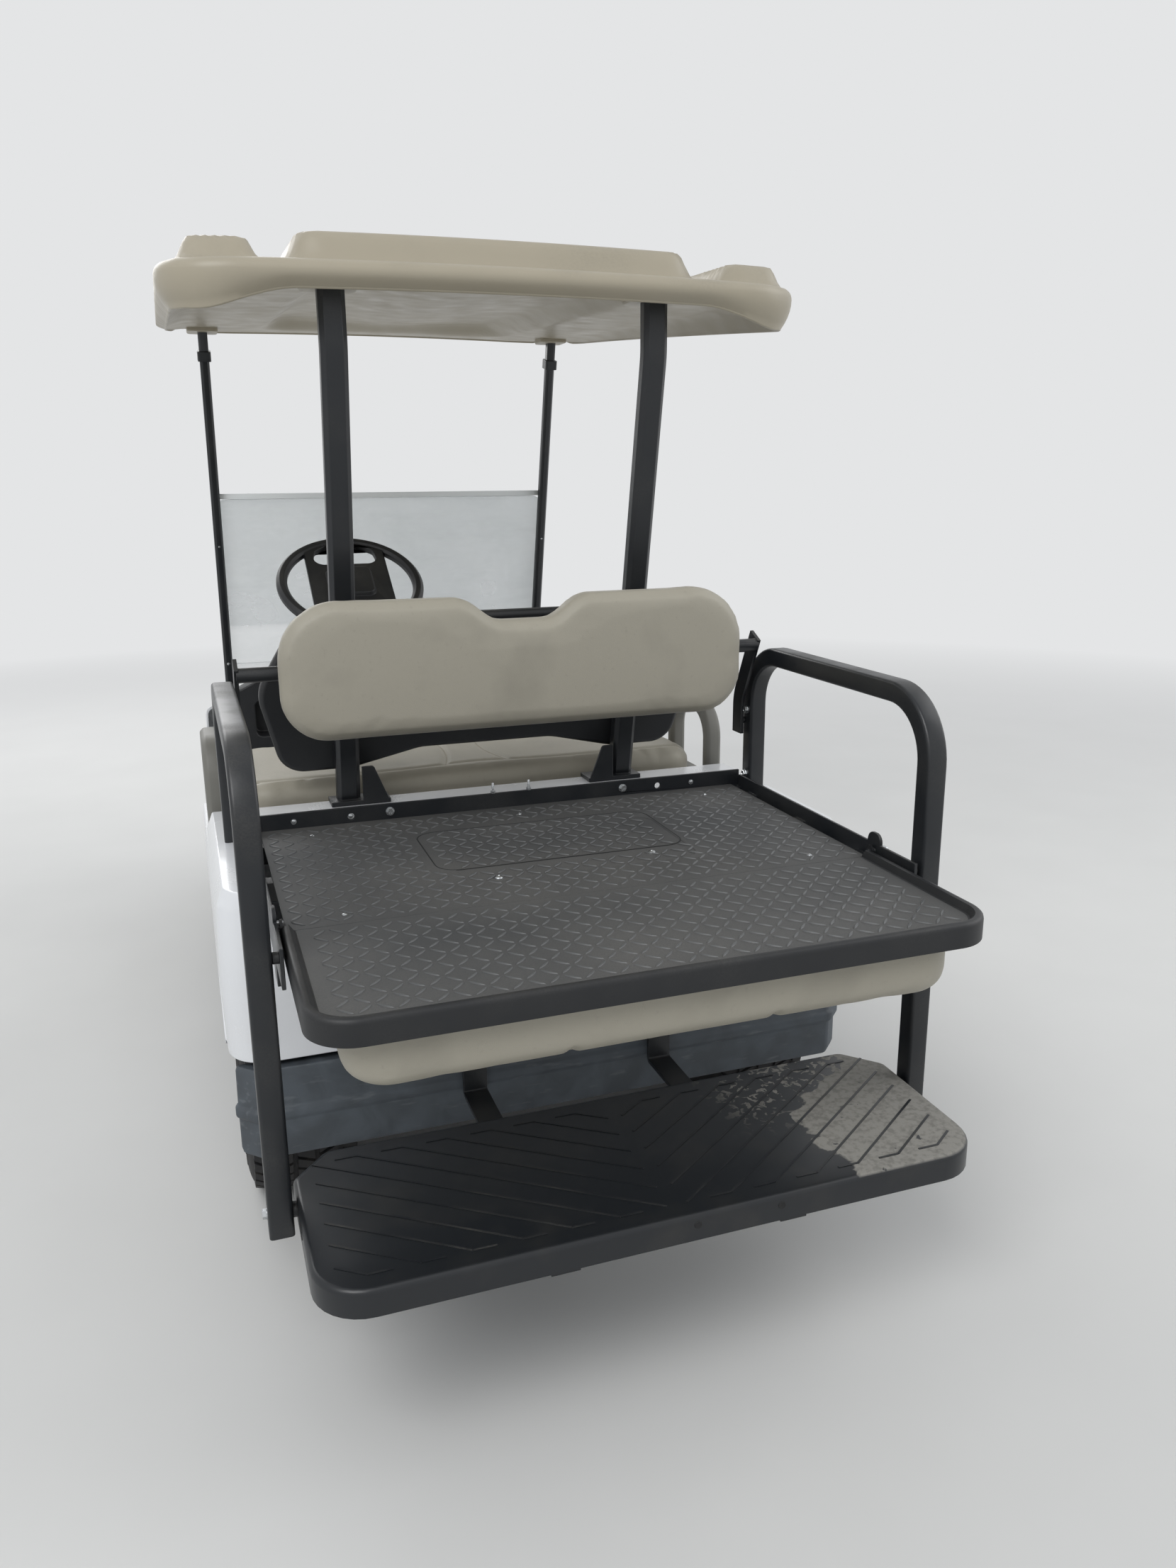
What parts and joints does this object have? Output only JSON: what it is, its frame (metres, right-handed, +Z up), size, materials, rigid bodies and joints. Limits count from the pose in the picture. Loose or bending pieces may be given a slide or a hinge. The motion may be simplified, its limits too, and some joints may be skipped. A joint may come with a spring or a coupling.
{
  "type": "golf cart with a flip-over rear seat",
  "caption": "White golf cart with tan roof, folded windscreen, front bench, steered front wheels and a rear flip-over seat folded out as a tread-plate cargo deck with foot plate.",
  "frame": {"origin": "on the floor, under the middle of the cart's box", "axes": "+Z up; the cart faces -Y, its rear deck is at +Y; +X is the cart's left side"},
  "size_m": [1.234, 2.912, 1.8669],
  "materials": {
    "tyre": "matte moulded rubber",
    "rim_steel": "white painted pressed steel",
    "axle_steel": "black painted steel",
    "chassis_steel": "black painted steel tube",
    "spring_steel": "dull rolled steel",
    "battery_case": "moulded polypropylene",
    "floor_mat": "black ribbed mat on steel",
    "body_white": "glossy white moulded body",
    "bumper_grey": "weathered dark grey plastic",
    "dash_black": "grained black plastic",
    "lamp_lens": "clear lens",
    "seat_vinyl": "grey-beige vinyl",
    "board_black": "painted board",
    "shell_black": "black moulded shell",
    "bracket_black": "black powder coat",
    "restraint_grey": "grey moulded plastic",
    "steering_black": "black moulded wheel",
    "roof_tan": "tan moulded roof",
    "frame_black": "satin black powder coat",
    "screen_clear": "clear hazed acrylic",
    "seal_black": "black rubber strip",
    "deck_black": "black diamond tread plate",
    "step_black": "black chevron tread plate"
  },
  "bodies": {
    "cart": {"front_axle": "axle_steel", "rear_axle": "axle_steel", "leaf_springs": "spring_steel", "chassis": "chassis_steel", "battery_pack": "battery_case", "floor_pan": "floor_mat", "front_cowl": "body_white", "headlamps": "lamp_lens", "front_bumper": "bumper_grey", "dash": "dash_black", "rear_body": "body_white", "rear_bumper": "bumper_grey", "back_shell": "shell_black", "back_pad": "seat_vinyl", "back_brackets": "bracket_black", "hip_restraint_left": "restraint_grey", "hip_restraint_right": "restraint_grey", "steering_column": "bracket_black", "pedals": "bracket_black", "roof": "roof_tan", "roof_posts": "frame_black", "screen_struts": "frame_black", "screen_lower": "screen_clear", "screen_upper": "screen_clear", "screen_hinge": "seal_black", "side_frame_left": "frame_black", "side_frame_right": "frame_black", "kit_base": "frame_black", "deck_fixed": "deck_black", "rear_back_cushion": "seat_vinyl", "backrest_frame": "frame_black", "foot_step": "step_black", "step_straps": "frame_black"},
    "wheel_front_left": {"tyre_front_left": "tyre", "rim_front_left": "rim_steel"},
    "wheel_front_right": {"tyre_front_right": "tyre", "rim_front_right": "rim_steel"},
    "wheel_rear_left": {"tyre_rear_left": "tyre", "rim_rear_left": "rim_steel"},
    "wheel_rear_right": {"tyre_rear_right": "tyre", "rim_rear_right": "rim_steel"},
    "knuckle_left": {"knuckle_left": "axle_steel"},
    "knuckle_right": {"knuckle_right": "axle_steel"},
    "tie_rod": {"tie_rod": "axle_steel"},
    "steering_wheel": {"steering_wheel": "steering_black"},
    "seat_lid": {"seat_board": "board_black", "seat_cushion": "seat_vinyl"},
    "flip_deck": {"flip_tray": "deck_black", "flip_cushion": "seat_vinyl"}
  },
  "joints": [
    {"name": "spin_front_left", "type": "hinge", "parent": "knuckle_left", "child": "wheel_front_left", "pos_m": [0.44, -1.076, 0.2285], "axis": [1, 0, 0], "continuous": true},
    {"name": "spin_front_right", "type": "hinge", "parent": "knuckle_right", "child": "wheel_front_right", "pos_m": [-0.44, -1.076, 0.2285], "axis": [1, 0, 0], "continuous": true},
    {"name": "spin_rear_left", "type": "hinge", "parent": "cart", "child": "wheel_rear_left", "pos_m": [0.49, 0.564, 0.2285], "axis": [1, 0, 0], "continuous": true},
    {"name": "spin_rear_right", "type": "hinge", "parent": "cart", "child": "wheel_rear_right", "pos_m": [-0.49, 0.564, 0.2285], "axis": [1, 0, 0], "continuous": true},
    {"name": "steering", "type": "hinge", "parent": "cart", "child": "steering_wheel", "pos_m": [0.224, -0.066, 1.16], "axis": [0, 0.5592, 0.829], "range_deg": [-360, 360]},
    {"name": "steer_left", "type": "hinge", "parent": "cart", "child": "knuckle_left", "pos_m": [0.31, -1.076, 0.2285], "axis": [0, 0, 1], "range_deg": [-26, 26]},
    {"name": "steer_right", "type": "hinge", "parent": "cart", "child": "knuckle_right", "pos_m": [-0.31, -1.076, 0.2285], "axis": [0, 0, 1], "range_deg": [-26, 26]},
    {"name": "tie_rod_slide", "type": "slide", "parent": "cart", "child": "tie_rod", "axis": [-1, 0, 0], "range_m": [-0.05, 0.05]},
    {"name": "seat_lift", "type": "hinge", "parent": "cart", "child": "seat_lid", "pos_m": [0, -0.072, 0.664], "axis": [1, 0, 0], "range_deg": [0, 45]},
    {"name": "deck_flip", "type": "hinge", "parent": "cart", "child": "flip_deck", "pos_m": [0, 1.092, 0.744], "axis": [1, 0, 0], "range_deg": [0, 180]}
  ],
  "couplings": [
    {"joint": "steer_left", "follows": "steering", "ratio": 0.072222},
    {"joint": "steer_right", "follows": "steering", "ratio": 0.072222},
    {"joint": "tie_rod_slide", "follows": "steering", "m_per_rad": 0.0079418}
  ]
}
